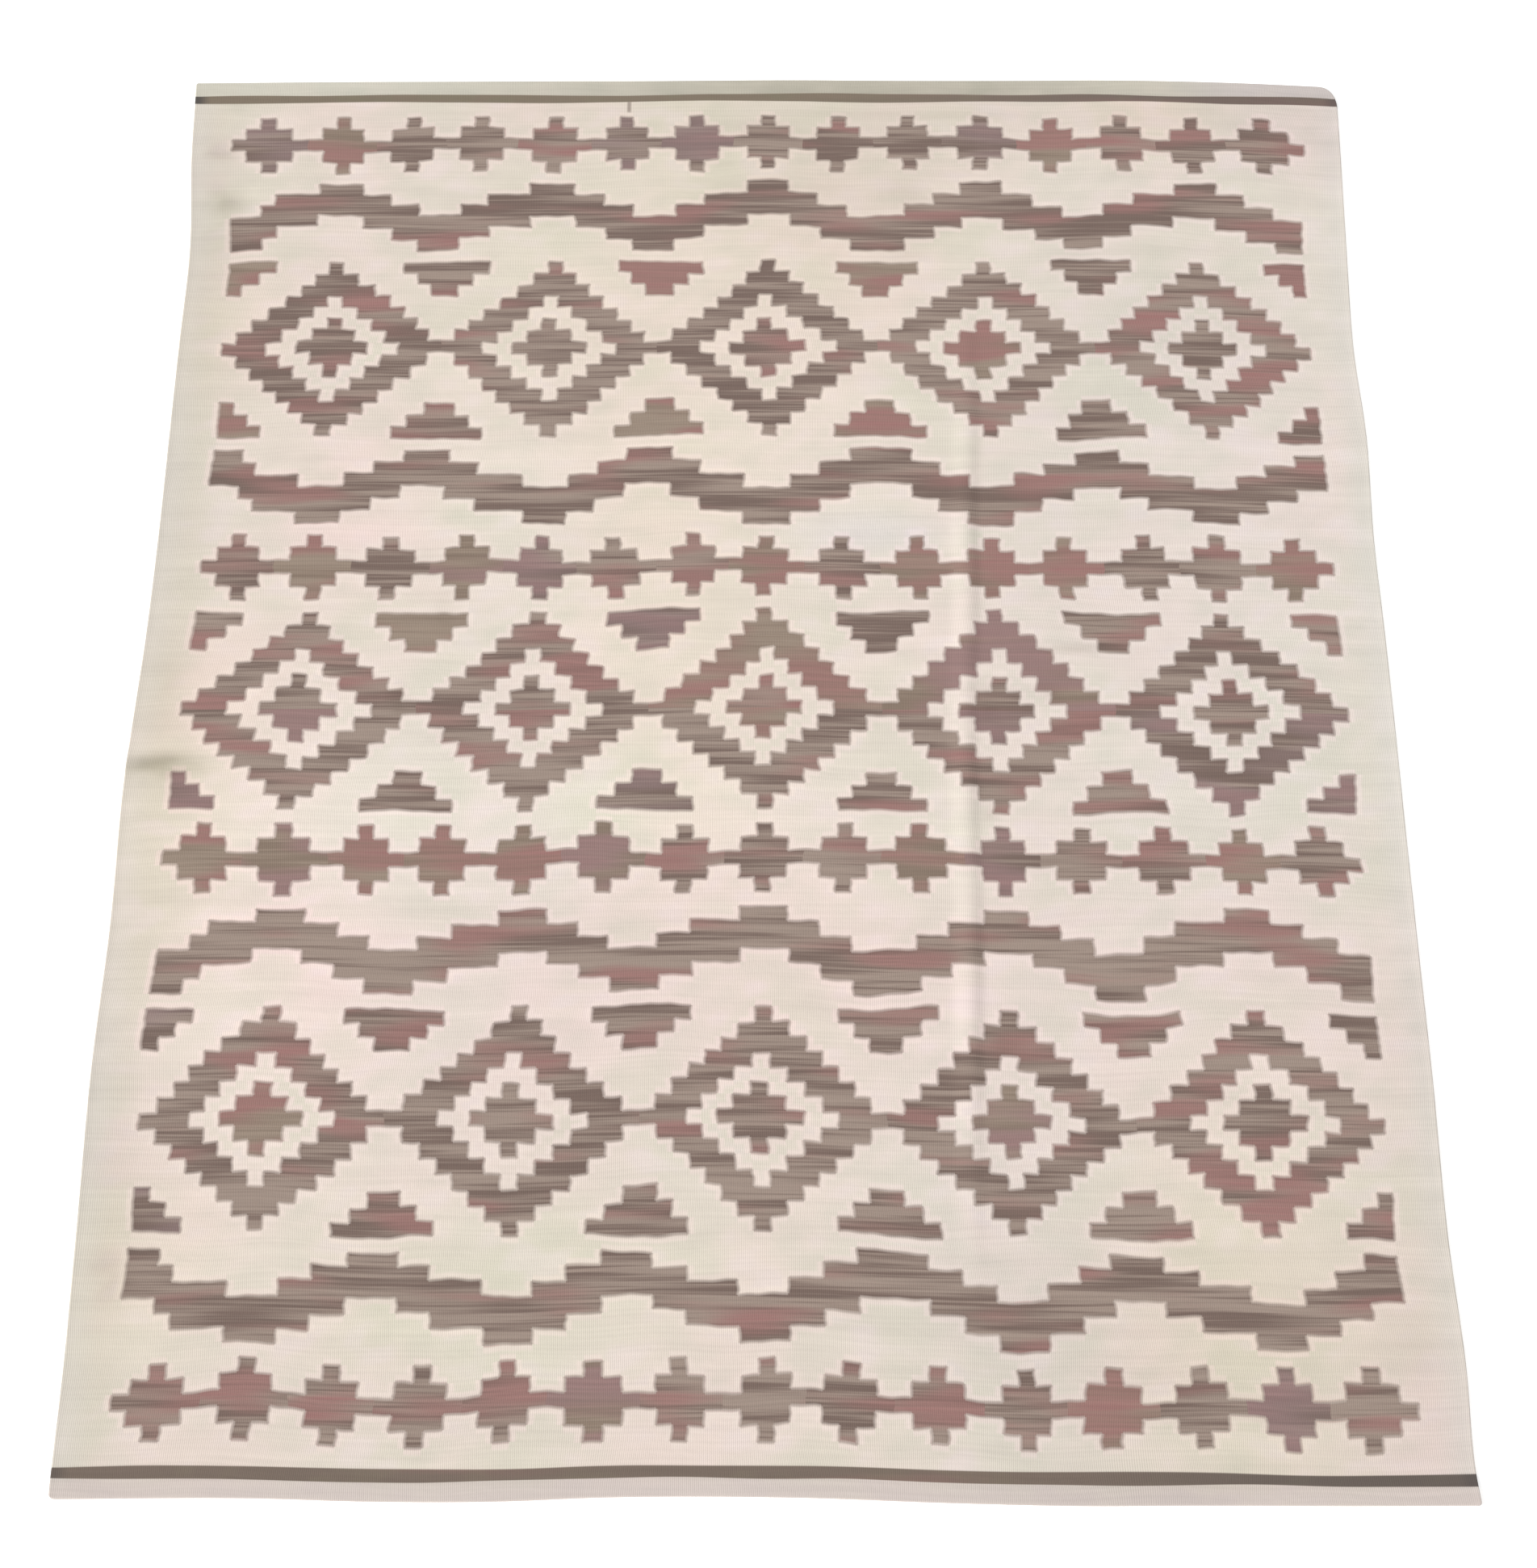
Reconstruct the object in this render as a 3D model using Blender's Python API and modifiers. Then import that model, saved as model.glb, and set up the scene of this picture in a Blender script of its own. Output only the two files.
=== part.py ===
"""A flatweave rug, about 8 by 10 feet, lying on a floor.

It is one woven cloth: a thin field, a slightly fuller selvedge down each long side, and a hem turned
under at each end. It lies flat apart from one long crease left of its right-hand side, a small tuck at
its left edge and a short wrinkle. X runs across the rug, Y along it, and Z is up. The origin is at the
middle of its underside's box. Sizes are in metres, and the tables of its shape are in millimetres.
"""

from typing import NamedTuple

import bmesh
import bpy
import numpy as np

MM = 0.001

# Driving sizes
RUG_WIDTH = 2.44
RUG_LENGTH = 3.05
CLOTH_THICKNESS = 0.004
SELVEDGE_THICKNESS = 0.0046
SELVEDGE_WIDTH = 0.012
HEM_THICKNESS = 0.006
HEM_DEPTH = 0.034
HEM_STEP = 0.006
EDGE_ROUNDING = 0.0012

# Spacing of the mesh's lines, and the closest that two may be; beside an edge or a fold, in millimetres
# from it
LINE_PITCH = 0.075
LINE_GAP = 0.0035
SIDE_LINES = (0, 6, 12, 20, 28, 38)
END_LINES = (0, 12, 22, 34, 40, 55)
CREASE_LINES = (-44, -31, -20, -9, 0, 7, 15, 23, 32)
TUCK_LINES = (-60, -28, -14, 0, 14, 32, 60, 90)
WRINKLE_LINES = (-26, 0, 26)

# Colour and finish of the wool
WOOL_COLOUR = (0.76, 0.68, 0.60, 1.0)
WOOL_ROUGHNESS = 0.95


class Side(NamedTuple):
    """How far the two long edges lie inside the rug's widest lines, at a place along it."""

    along: float
    left_in: float
    right_in: float


class End(NamedTuple):
    """How far the two short edges lie inside the rug's longest lines, at a place across it."""

    across: float
    far_in: float
    near_in: float


class Corner(NamedTuple):
    """The radii of a corner's rounding, and where it is: at the left or right side and the near or far
    end, as -1 or 1."""

    side: int
    end: int
    across: float
    along: float


class Crest(NamedTuple):
    """One section of the long crease: where its crest lies, and how high the cloth is lifted there."""

    along: float
    across: float
    lift: float


class Fold(NamedTuple):
    """A short fold that runs roughly across: its crest from left to right, its height and its flanks."""

    left: float
    right: float
    left_along: float
    right_along: float
    lift: float
    far_flank: float
    near_flank: float


SIDES = (
    Side(along=-1525, left_in=4, right_in=0),
    Side(along=-1480, left_in=4, right_in=4),
    Side(along=-1280, left_in=6, right_in=3),
    Side(along=-1060, left_in=4, right_in=11),
    Side(along=-740, left_in=0, right_in=10),
    Side(along=-450, left_in=7, right_in=12),
    Side(along=-150, left_in=5, right_in=13),
    Side(along=-40, left_in=9, right_in=13),
    Side(along=170, left_in=18, right_in=14),
    Side(along=390, left_in=22, right_in=17),
    Side(along=640, left_in=23, right_in=11),
    Side(along=850, left_in=24, right_in=19),
    Side(along=1090, left_in=26, right_in=13),
    Side(along=1340, left_in=9, right_in=5),
    Side(along=1525, left_in=4, right_in=0),
)
ENDS = (
    End(across=-1220, far_in=21, near_in=8),
    End(across=-870, far_in=15, near_in=10),
    End(across=-680, far_in=13, near_in=5),
    End(across=-440, far_in=10, near_in=6),
    End(across=-300, far_in=9, near_in=12),
    End(across=60, far_in=4, near_in=13),
    End(across=300, far_in=4, near_in=5),
    End(across=560, far_in=2, near_in=0),
    End(across=700, far_in=0, near_in=1),
    End(across=1000, far_in=5, near_in=1),
    End(across=1220, far_in=16, near_in=2),
)
CORNERS = {
    "far left": Corner(side=-1, end=1, across=6, along=6),
    "far right": Corner(side=1, end=1, across=38, along=55),
    "near left": Corner(side=-1, end=-1, across=9, along=9),
    "near right": Corner(side=1, end=-1, across=6, along=6),
}
LONG_CREASE = (
    Crest(along=960, across=415, lift=0),
    Crest(along=670, across=408, lift=2.8),
    Crest(along=480, across=402, lift=3.7),
    Crest(along=340, across=402, lift=4.4),
    Crest(along=16, across=390, lift=3.2),
    Crest(along=-182, across=389, lift=4.4),
    Crest(along=-330, across=389, lift=3.5),
    Crest(along=-520, across=385, lift=4.4),
    Crest(along=-760, across=380, lift=3.2),
    Crest(along=-930, across=376, lift=1.8),
    Crest(along=-1230, across=372, lift=0),
)
LONG_CREASE_LEFT_FLANK = 44
LONG_CREASE_RIGHT_FLANK = 32
LONG_CREASE_REACH = 150
SHORT_FOLDS = {
    "tuck at the left edge": Fold(
        left=-1290, right=-1040, left_along=-128, right_along=-110, lift=3.2, far_flank=85, near_flank=26
    ),
    "wrinkle beside the crease": Fold(
        left=500, right=700, left_along=150, right_along=120, lift=1.6, far_flank=26, near_flank=26
    ),
}


def column(rows: tuple, name: str) -> np.ndarray:
    """One named column of a table, in metres."""
    return np.array([getattr(row, name) for row in rows]) * MM


def through(places: np.ndarray, values: np.ndarray, at: np.ndarray) -> np.ndarray:
    """A smooth curve through a table's values, read at other places. The places go up or down."""
    order = np.argsort(places)
    places, values = places[order], values[order]
    slopes = np.gradient(values, places)
    at = np.clip(at, places[0], places[-1])
    k = np.clip(np.searchsorted(places, at) - 1, 0, len(places) - 2)
    span = places[k + 1] - places[k]
    t = (at - places[k]) / span
    start = (1 + 2 * t) * (1 - t) ** 2 * values[k] + t * (1 - t) ** 2 * span * slopes[k]
    end = t**2 * (3 - 2 * t) * values[k + 1] - t**2 * (1 - t) * span * slopes[k + 1]
    return start + end


def hump(distance: np.ndarray) -> np.ndarray:
    """A round hump: 1 at distance 0, and 0 from distance 1 on."""
    return 0.5 + 0.5 * np.cos(np.pi * np.clip(np.abs(distance), 0, 1))


def rounding(corner: Corner, from_side: np.ndarray, from_end: np.ndarray) -> tuple[np.ndarray, np.ndarray]:
    """How far points near a square corner are drawn in, across and along, so that it becomes round."""
    out_x = np.clip(1 - from_side / (corner.across * MM), 0, 1)
    out_y = np.clip(1 - from_end / (corner.along * MM), 0, 1)
    share = 1 - np.maximum(out_x, out_y) / np.maximum(np.hypot(out_x, out_y), MM)
    share = np.where((out_x > 0) & (out_y > 0), share, 0)
    return out_x * share * corner.across * MM, out_y * share * corner.along * MM


def outline(x: np.ndarray, y: np.ndarray) -> tuple[np.ndarray, np.ndarray]:
    """Moves points of a plain rectangle so that its edges follow the rug's wavy ones."""
    side, end = RUG_WIDTH / 2, RUG_LENGTH / 2
    across, along = (x + side) / RUG_WIDTH, (y + end) / RUG_LENGTH
    left = through(column(SIDES, "along"), column(SIDES, "left_in"), y)
    right = through(column(SIDES, "along"), column(SIDES, "right_in"), y)
    near = through(column(ENDS, "across"), column(ENDS, "near_in"), x)
    far = through(column(ENDS, "across"), column(ENDS, "far_in"), x)
    shaped_x = x + left * (1 - across) - right * across
    shaped_y = y + near * (1 - along) - far * along
    for corner in CORNERS.values():
        pull_x, pull_y = rounding(corner, side - x * corner.side, end - y * corner.end)
        shaped_x = shaped_x - corner.side * pull_x
        shaped_y = shaped_y - corner.end * pull_y
    return shaped_x, shaped_y


def lift(x: np.ndarray, y: np.ndarray) -> np.ndarray:
    """How high the cloth's underside stands off the floor: 0 but for the creases."""
    crest = through(column(LONG_CREASE, "along"), column(LONG_CREASE, "across"), y)
    height = np.maximum(through(column(LONG_CREASE, "along"), column(LONG_CREASE, "lift"), y), 0)
    flank = np.where(x < crest, LONG_CREASE_LEFT_FLANK, LONG_CREASE_RIGHT_FLANK) * MM
    raised = height * hump((x - crest) / flank)
    for fold in SHORT_FOLDS.values():
        left, right = fold.left * MM, fold.right * MM
        part = np.clip((x - left) / (right - left), 0, 1)
        line = (fold.left_along + (fold.right_along - fold.left_along) * part) * MM
        flank = np.where(y > line, fold.far_flank, fold.near_flank) * MM
        raised = raised + fold.lift * MM * hump(2 * part - 1) * hump((y - line) / flank)
    return raised


def thickness(x: np.ndarray, y: np.ndarray) -> np.ndarray:
    """The cloth's thickness: full at the hems, a little fuller at the selvedges."""
    from_side = RUG_WIDTH / 2 - np.abs(x)
    from_end = RUG_LENGTH / 2 - np.abs(y)
    selvedge = np.clip(1 - from_side / SELVEDGE_WIDTH, 0, 1)
    hem = np.clip((HEM_DEPTH + HEM_STEP - from_end) / HEM_STEP, 0, 1)
    field = CLOTH_THICKNESS + (SELVEDGE_THICKNESS - CLOTH_THICKNESS) * selvedge
    return field + (HEM_THICKNESS - field) * hem


def lines(half: float, edge: tuple, extra: np.ndarray) -> np.ndarray:
    """The places of the mesh's lines in one direction: those at both edges, those of the folds, and an
    even spacing between them."""
    fixed = sorted({side * (half - inset * MM) for inset in edge for side in (-1, 1)} | set(extra))
    places = [fixed[0]]
    for place in fixed[1:]:
        gap = place - places[-1]
        if gap < LINE_GAP:
            continue
        steps = max(1, round(gap / LINE_PITCH))
        places += [places[-1] + gap * (step + 1) / steps for step in range(steps)]
    return np.array(places)


def beside_crease(x: np.ndarray, y: np.ndarray) -> np.ndarray:
    """Bends the mesh's lines near the long crease so that they run along its crest."""
    middle = np.mean(column(LONG_CREASE, "across"))
    crest = through(column(LONG_CREASE, "along"), column(LONG_CREASE, "across"), y)
    reach = np.array([LONG_CREASE_LEFT_FLANK, LONG_CREASE_REACH]) * MM
    return x + (crest - middle) * np.interp(np.abs(x - middle), reach, [1, 0])


def cloth_mesh() -> tuple[bpy.types.Mesh, np.ndarray]:
    """The cloth's underside, and its thickness at each of its points: a grid whose lines are set at the
    places that the edges and folds need."""
    crease = np.mean(column(LONG_CREASE, "across")) + np.array(CREASE_LINES) * MM
    tuck = SHORT_FOLDS["tuck at the left edge"].left_along * MM + np.array(TUCK_LINES) * MM
    wrinkle = SHORT_FOLDS["wrinkle beside the crease"].left_along * MM + np.array(WRINKLE_LINES) * MM
    across = lines(RUG_WIDTH / 2, SIDE_LINES, crease)
    along = lines(RUG_LENGTH / 2, END_LINES, np.concatenate([tuck, wrinkle]))
    cells_x, cells_y = len(across) - 1, len(along) - 1
    grid = bmesh.new()
    bmesh.ops.create_grid(grid, x_segments=cells_x, y_segments=cells_y, size=1)
    even = np.array([vertex.co for vertex in grid.verts])
    flat_x = across[np.rint((even[:, 0] + 1) / 2 * cells_x).astype(int)]
    flat_y = along[np.rint((even[:, 1] + 1) / 2 * cells_y).astype(int)]
    flat_x = beside_crease(flat_x, flat_y)
    shaped_x, shaped_y = outline(flat_x, flat_y)
    raised = lift(flat_x, flat_y)
    for vertex, place in zip(grid.verts, zip(shaped_x, shaped_y, raised)):
        vertex.co = place
    mesh = bpy.data.meshes.new("rug")
    grid.to_mesh(mesh)
    grid.free()
    return mesh, thickness(flat_x, flat_y)


def wool() -> bpy.types.Material:
    """The cream wool that the cloth is woven of."""
    material = bpy.data.materials.new("wool")
    material.use_nodes = True
    shader = material.node_tree.nodes["Principled BSDF"]
    shader.inputs["Base Color"].default_value = WOOL_COLOUR
    shader.inputs["Roughness"].default_value = WOOL_ROUGHNESS
    shader.inputs["Metallic"].default_value = 0.0
    return material


def rug() -> bpy.types.Object:
    """The whole rug, one closed solid: the underside given its thickness, with its rim rounded."""
    mesh, thick = cloth_mesh()
    cloth = bpy.data.objects.new("rug", mesh)
    mesh.materials.append(wool())
    share = cloth.vertex_groups.new(name="thickness")
    for index, value in enumerate(thick / HEM_THICKNESS):
        share.add([index], float(value), "REPLACE")
    solid = cloth.modifiers.new("thickness", "SOLIDIFY")
    solid.thickness = HEM_THICKNESS
    solid.offset = 1
    solid.vertex_group = share.name
    rim = cloth.modifiers.new("rounded rim", "BEVEL")
    rim.width = EDGE_ROUNDING
    rim.segments = 1
    rim.limit_method = "ANGLE"
    return cloth


def main() -> None:
    """Clears the scene and makes the rug in a collection of its own."""
    for existing in list(bpy.data.objects):
        bpy.data.objects.remove(existing, do_unlink=True)
    collection = bpy.data.collections.new("flatweave rug")
    bpy.context.scene.collection.children.link(collection)
    collection.objects.link(rug())


if __name__ == "__main__":
    main()
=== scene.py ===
"""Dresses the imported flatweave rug: the woven cloth with its motifs, its selvedges, the floor, the light
and the camera. Sizes are in metres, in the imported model's own frame, and the tables of the cloth's shape
are in millimetres."""

import logging
import math
from dataclasses import dataclass, field
from enum import Enum
from functools import partialmethod
from typing import NamedTuple

import bmesh
import bpy
import numpy as np
from mathutils import Matrix, Vector


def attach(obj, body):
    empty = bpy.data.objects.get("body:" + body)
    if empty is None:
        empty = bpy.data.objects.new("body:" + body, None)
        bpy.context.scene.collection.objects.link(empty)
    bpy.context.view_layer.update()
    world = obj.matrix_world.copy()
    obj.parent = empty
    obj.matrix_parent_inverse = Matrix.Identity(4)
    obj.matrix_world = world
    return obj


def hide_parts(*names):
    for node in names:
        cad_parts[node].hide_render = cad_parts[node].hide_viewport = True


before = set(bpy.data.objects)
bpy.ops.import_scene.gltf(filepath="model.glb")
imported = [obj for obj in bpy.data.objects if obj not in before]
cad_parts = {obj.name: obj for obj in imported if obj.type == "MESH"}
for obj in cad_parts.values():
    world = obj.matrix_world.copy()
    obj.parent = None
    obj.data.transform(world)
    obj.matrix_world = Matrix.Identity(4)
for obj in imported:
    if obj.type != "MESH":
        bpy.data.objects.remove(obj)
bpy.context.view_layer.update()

MM = 0.001
LOG = logging.getLogger("rug")
RGB = tuple[int, int, int]
WHITE = (1.0, 1.0, 1.0, 1.0)


class Side(NamedTuple):
    """How far the two long edges lie inside the rug's widest lines, at a place along it."""

    along: float
    left_in: float
    right_in: float


class End(NamedTuple):
    """How far the two short edges lie inside the rug's longest lines, at a place across it."""

    across: float
    far_in: float
    near_in: float


class Corner(NamedTuple):
    """The radii of a corner's rounding, and where it is: at the left or right side and the near or far
    end, as -1 or 1."""

    side: int
    end: int
    across: float
    along: float


class Crest(NamedTuple):
    """One section of the long crease: where its crest lies, and how high the cloth is lifted there."""

    along: float
    across: float
    lift: float


class Fold(NamedTuple):
    """A short fold that runs roughly across: its crest from left to right, its height and its flanks."""

    left: float
    right: float
    left_along: float
    right_along: float
    lift: float
    far_flank: float
    near_flank: float


class HemStep(NamedTuple):
    """The cloth's thickness at a distance from its end, over the turned hem."""

    inset: float
    thick: float


class Swell(NamedTuple):
    """Soft unevenness of the cloth: the lengths of its shortest and longest waves, and its seed."""

    shortest: float
    longest: float
    seed: int


class SmudgeAndShade(NamedTuple):
    """A soft darker spot on the wool, some rows of it painted shade of folds: its middle, how wide and long
    a half of it is, and how deep, up to 1.
    """

    across: float
    along: float
    wide: float
    long: float
    depth: float


class CastAndHighlight(NamedTuple):
    """A broad, faint change of the cream's tone: its middle, how wide and long it goes before it falls to
    half, and how much lighter, yellower and greener the wool is there, in levels of the screen. One small
    row is a painted highlight."""

    across: float
    along: float
    wide: float
    long: float
    lighter: float = 0
    yellower: float = 0
    greener: float = 0

    def levels(self) -> np.ndarray:
        """The change of red, green and blue."""
        yellow, green = self.yellower * 2 / 3, self.greener * 2 / 3
        return np.array([self.lighter + yellow - green, self.lighter + green, self.lighter - yellow])


SIDES = (
    Side(-1525, 4, 0),
    Side(-1480, 4, 4),
    Side(-1280, 6, 3),
    Side(-1060, 4, 11),
    Side(-740, 0, 10),
    Side(-450, 7, 12),
    Side(-150, 5, 13),
    Side(-40, 9, 13),
    Side(170, 18, 14),
    Side(390, 22, 17),
    Side(640, 23, 11),
    Side(850, 24, 19),
    Side(1090, 26, 13),
    Side(1340, 9, 5),
    Side(1525, 4, 0),
)
ENDS = (
    End(-1220, 21, 8),
    End(-870, 15, 10),
    End(-680, 13, 5),
    End(-440, 10, 6),
    End(-300, 9, 12),
    End(60, 4, 13),
    End(300, 4, 5),
    End(560, 2, 0),
    End(700, 0, 1),
    End(1000, 5, 1),
    End(1220, 16, 2),
)
CORNERS = {
    "far left": Corner(side=-1, end=1, across=6, along=6),
    "far right": Corner(side=1, end=1, across=38, along=55),
    "near left": Corner(side=-1, end=-1, across=9, along=9),
    "near right": Corner(side=1, end=-1, across=6, along=6),
}
LONG_CREASE = (
    Crest(960, 415, 0),
    Crest(670, 408, 2.8),
    Crest(480, 402, 3.7),
    Crest(340, 402, 4.4),
    Crest(16, 390, 3.2),
    Crest(-182, 389, 4.4),
    Crest(-330, 389, 3.5),
    Crest(-520, 385, 4.4),
    Crest(-760, 380, 3.2),
    Crest(-930, 376, 1.8),
    Crest(-1230, 372, 0),
)
SHORT_FOLDS = {
    "tuck at the left edge": Fold(
        left=-1290, right=-1040, left_along=-128, right_along=-110, lift=3.2, far_flank=85, near_flank=26
    ),
    "wrinkle beside the crease": Fold(
        left=500, right=700, left_along=150, right_along=120, lift=1.6, far_flank=26, near_flank=26
    ),
}
HEM_PROFILE = (
    HemStep(0, 5.4),
    HemStep(6, 6.0),
    HemStep(22, 6.1),
    HemStep(31, 5.4),
    HemStep(34, 4.6),
    HemStep(38, 4.5),
    HemStep(46, 4.0),
)
# A row of the next two tables starts with its middle across and along and its half sizes
SMUDGES_AND_SHADES = (
    SmudgeAndShade(-1160, 1335, 42, 26, depth=0.20),
    SmudgeAndShade(-1150, 1205, 52, 34, depth=0.26),
    SmudgeAndShade(-1175, 1200, 60, 340, depth=0.14),
    SmudgeAndShade(-1175, 560, 55, 420, depth=0.06),
    SmudgeAndShade(-1170, 50, 50, 110, depth=0.13),
    # painted shade on the far flank of the tuck at the left edge
    SmudgeAndShade(-1150, -122, 88, 30, depth=0.62),
    SmudgeAndShade(-1170, -1150, 55, 380, depth=0.08),
    SmudgeAndShade(330, 1438, 260, 18, depth=0.14),
    # painted shade beside the long crease, on its shaded right side, in the next three rows
    SmudgeAndShade(430, 30, 22, 40, depth=0.36),
    SmudgeAndShade(432, -215, 26, 24, depth=0.24),
    SmudgeAndShade(440, -690, 34, 18, depth=0.30),
    SmudgeAndShade(545, 35, 34, 26, depth=0.20),
    # painted shade along the crest of the wrinkle beside the crease
    SmudgeAndShade(600, 137, 95, 12, depth=0.26),
    SmudgeAndShade(285, 1225, 60, 40, depth=0.15),
    SmudgeAndShade(285, 1080, 55, 36, depth=0.13),
    SmudgeAndShade(-10, 1400, 90, 22, depth=0.12),
    SmudgeAndShade(40, 1240, 150, 14, depth=0.13),
    SmudgeAndShade(-570, -1165, 170, 22, depth=0.13),
    SmudgeAndShade(683, -1135, 80, 30, depth=0.10),
    SmudgeAndShade(-1160, -1130, 46, 56, depth=0.16),
    SmudgeAndShade(-713, 20, 20, 44, depth=0.18),
    SmudgeAndShade(-640, 236, 26, 60, depth=0.10),
    SmudgeAndShade(1130, -1250, 60, 90, depth=0.09),
)
CASTS_AND_HIGHLIGHTS = (
    CastAndHighlight(-150, -100, 1150, 750, lighter=4.5),
    CastAndHighlight(-900, -470, 250, 420, lighter=7),
    CastAndHighlight(-1190, -800, 90, 160, lighter=-2.5),
    CastAndHighlight(-350, -220, 450, 110, lighter=4),
    CastAndHighlight(-350, 580, 600, 120, lighter=2.5),
    CastAndHighlight(-1200, -100, 90, 1300, lighter=-5),
    CastAndHighlight(-400, 1440, 300, 80, lighter=-3),
    CastAndHighlight(150, 1330, 230, 200, lighter=-9),
    CastAndHighlight(900, 1440, 400, 120, lighter=-7),
    CastAndHighlight(830, 900, 200, 150, lighter=-4),
    CastAndHighlight(500, 250, 110, 650, lighter=-2),
    CastAndHighlight(1050, -1380, 420, 300, lighter=-7),
    CastAndHighlight(1180, -800, 120, 250, lighter=-4),
    CastAndHighlight(490, -1200, 200, 200, lighter=-5.5),
    # painted highlight on the lit left flank of the long crease
    CastAndHighlight(372, 395, 25, 60, lighter=6, greener=-2),
    CastAndHighlight(0, 1150, 420, 450, yellower=3.5, greener=1.5),
    CastAndHighlight(-200, 150, 180, 450, yellower=4, greener=1),
    CastAndHighlight(-540, 430, 200, 200, greener=2),
    CastAndHighlight(-190, -200, 150, 90, yellower=1.5, greener=2.5),
    CastAndHighlight(-850, 395, 180, 30, lighter=3, yellower=-1, greener=-4),
    CastAndHighlight(210, 395, 130, 42, lighter=2, yellower=-8, greener=-3),
    CastAndHighlight(900, 250, 500, 1000, yellower=-3.5),
    CastAndHighlight(450, -1050, 220, 420, yellower=-2.5),
    CastAndHighlight(-480, -350, 350, 450, yellower=-2.5),
    CastAndHighlight(850, -1180, 230, 330, yellower=5.5, greener=1),
    CastAndHighlight(850, -1400, 180, 90, greener=2.5),
    CastAndHighlight(800, 1440, 150, 110, yellower=5),
    CastAndHighlight(-1130, -150, 130, 330, yellower=4),
    CastAndHighlight(-1120, -1150, 130, 150, yellower=4, greener=2.5),
    CastAndHighlight(-1130, 900, 120, 150, yellower=3),
    CastAndHighlight(-450, -1150, 350, 130, yellower=2.5, greener=3),
    CastAndHighlight(-540, 900, 200, 200, yellower=2, greener=1.5),
    CastAndHighlight(0, -570, 1100, 200, greener=-3),
    CastAndHighlight(-880, -460, 130, 110, greener=-3.5),
    CastAndHighlight(-880, 580, 130, 130, greener=-2.5),
    CastAndHighlight(1150, -1420, 120, 120, yellower=-2, greener=-2),
    CastAndHighlight(1150, 1420, 130, 130, yellower=-2, greener=-3.5),
)
SWELLS = {
    "ripple": Swell(shortest=50, longest=600, seed=7),
    "sway across": Swell(shortest=190, longest=650, seed=11),
    "sway along": Swell(shortest=190, longest=650, seed=12),
    "dye": Swell(shortest=300, longest=1300, seed=13),
    "greening": Swell(shortest=160, longest=900, seed=14),
    "mottle": Swell(shortest=45, longest=260, seed=15),
}


def column(rows: tuple, name: str) -> np.ndarray:
    """One named column of a table, in metres."""
    return np.array([getattr(row, name) for row in rows]) * MM


def through(rows: tuple, key: str, name: str, at: np.ndarray) -> np.ndarray:
    """A smooth curve through one column of a table.

    Args:
        rows: the table.
        key: the column that says where the values stand, going up or down.
        name: the values' column.
        at: the places to read the curve at, in metres.

    Returns:
        The curve's values there, in metres.
    """
    places, values = column(rows, key), column(rows, name)
    order = np.argsort(places)
    places, values = places[order], values[order]
    slopes = np.gradient(values, places)
    at = np.clip(at, places[0], places[-1])
    k = np.clip(np.searchsorted(places, at) - 1, 0, len(places) - 2)
    span = places[k + 1] - places[k]
    t = (at - places[k]) / span
    start = (1 + 2 * t) * (1 - t) ** 2 * values[k] + t * (1 - t) ** 2 * span * slopes[k]
    end = t**2 * (3 - 2 * t) * values[k + 1] - t**2 * (1 - t) * span * slopes[k + 1]
    return start + end


def hump(distance: np.ndarray) -> np.ndarray:
    """A round hump: 1 at distance 0, and 0 from distance 1 on."""
    return 0.5 + 0.5 * np.cos(np.pi * np.clip(np.abs(distance), 0, 1))


def rounding(corner: Corner, from_side: np.ndarray, from_end: np.ndarray) -> tuple[np.ndarray, np.ndarray]:
    """How far points near a square corner are drawn in so that it becomes round.

    Args:
        corner: its row of the table.
        from_side: the points' distances from the side there, in metres.
        from_end: their distances from the end.

    Returns:
        How far they are drawn in across and along, in metres.
    """
    out_x = np.clip(1 - from_side / (corner.across * MM), 0, 1)
    out_y = np.clip(1 - from_end / (corner.along * MM), 0, 1)
    share = 1 - np.maximum(out_x, out_y) / np.maximum(np.hypot(out_x, out_y), MM)
    share = np.where((out_x > 0) & (out_y > 0), share, 0)
    return out_x * share * corner.across * MM, out_y * share * corner.along * MM


def swell(name: str, x: np.ndarray, y: np.ndarray, waves: int = 26) -> np.ndarray:
    """One of the cloth's soft unevennesses, as waves of many lengths in all directions.

    Args:
        name: its name in the table.
        x: places across the flat cloth, in metres.
        y: places along it.
        waves: how many waves make it up.

    Returns:
        Values about 0, nearly all between -1 and 1.
    """
    row = SWELLS[name]
    draw = np.random.default_rng(row.seed)
    total = np.zeros_like(x)
    for length in np.geomspace(row.shortest, row.longest, waves) * MM:
        heading, phase = draw.uniform(0, np.pi), draw.uniform(0, 2 * np.pi)
        total += np.sin((x * np.cos(heading) + y * np.sin(heading)) * 2 * np.pi / length + phase)
    return total / waves**0.5 / 2


def spot(row: SmudgeAndShade | CastAndHighlight, x: np.ndarray, y: np.ndarray, reach: float) -> np.ndarray:
    """A soft round spot where a table's row says: 1 in its middle, 0 from reach times its half sizes on."""
    across = (x / MM - row.across) / row.wide
    along = (y / MM - row.along) / row.long
    return hump(np.hypot(across, along) / reach)


def linear(colour: RGB) -> tuple[float, float, float, float]:
    """A screen colour of 0 to 255 as the linear colour that a shader takes."""
    levels = [level / 255 for level in colour]
    return (*(x / 12.92 if x <= 0.04045 else ((x + 0.055) / 1.055) ** 2.4 for x in levels), 1.0)


def deselect_all() -> None:
    """Leaves nothing selected, so that an operator acts only on what it adds."""
    bpy.ops.object.select_all(action="DESELECT")


class Blend(Enum):
    """How a Mix node joins two colours."""

    MIX = "MIX"
    MULTIPLY = "MULTIPLY"


class Ramp(NamedTuple):
    """How a tint or a mark sets in: from nothing at low to its share at high, which may be the smaller."""

    low: float
    high: float
    share: float = 1.0


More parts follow.
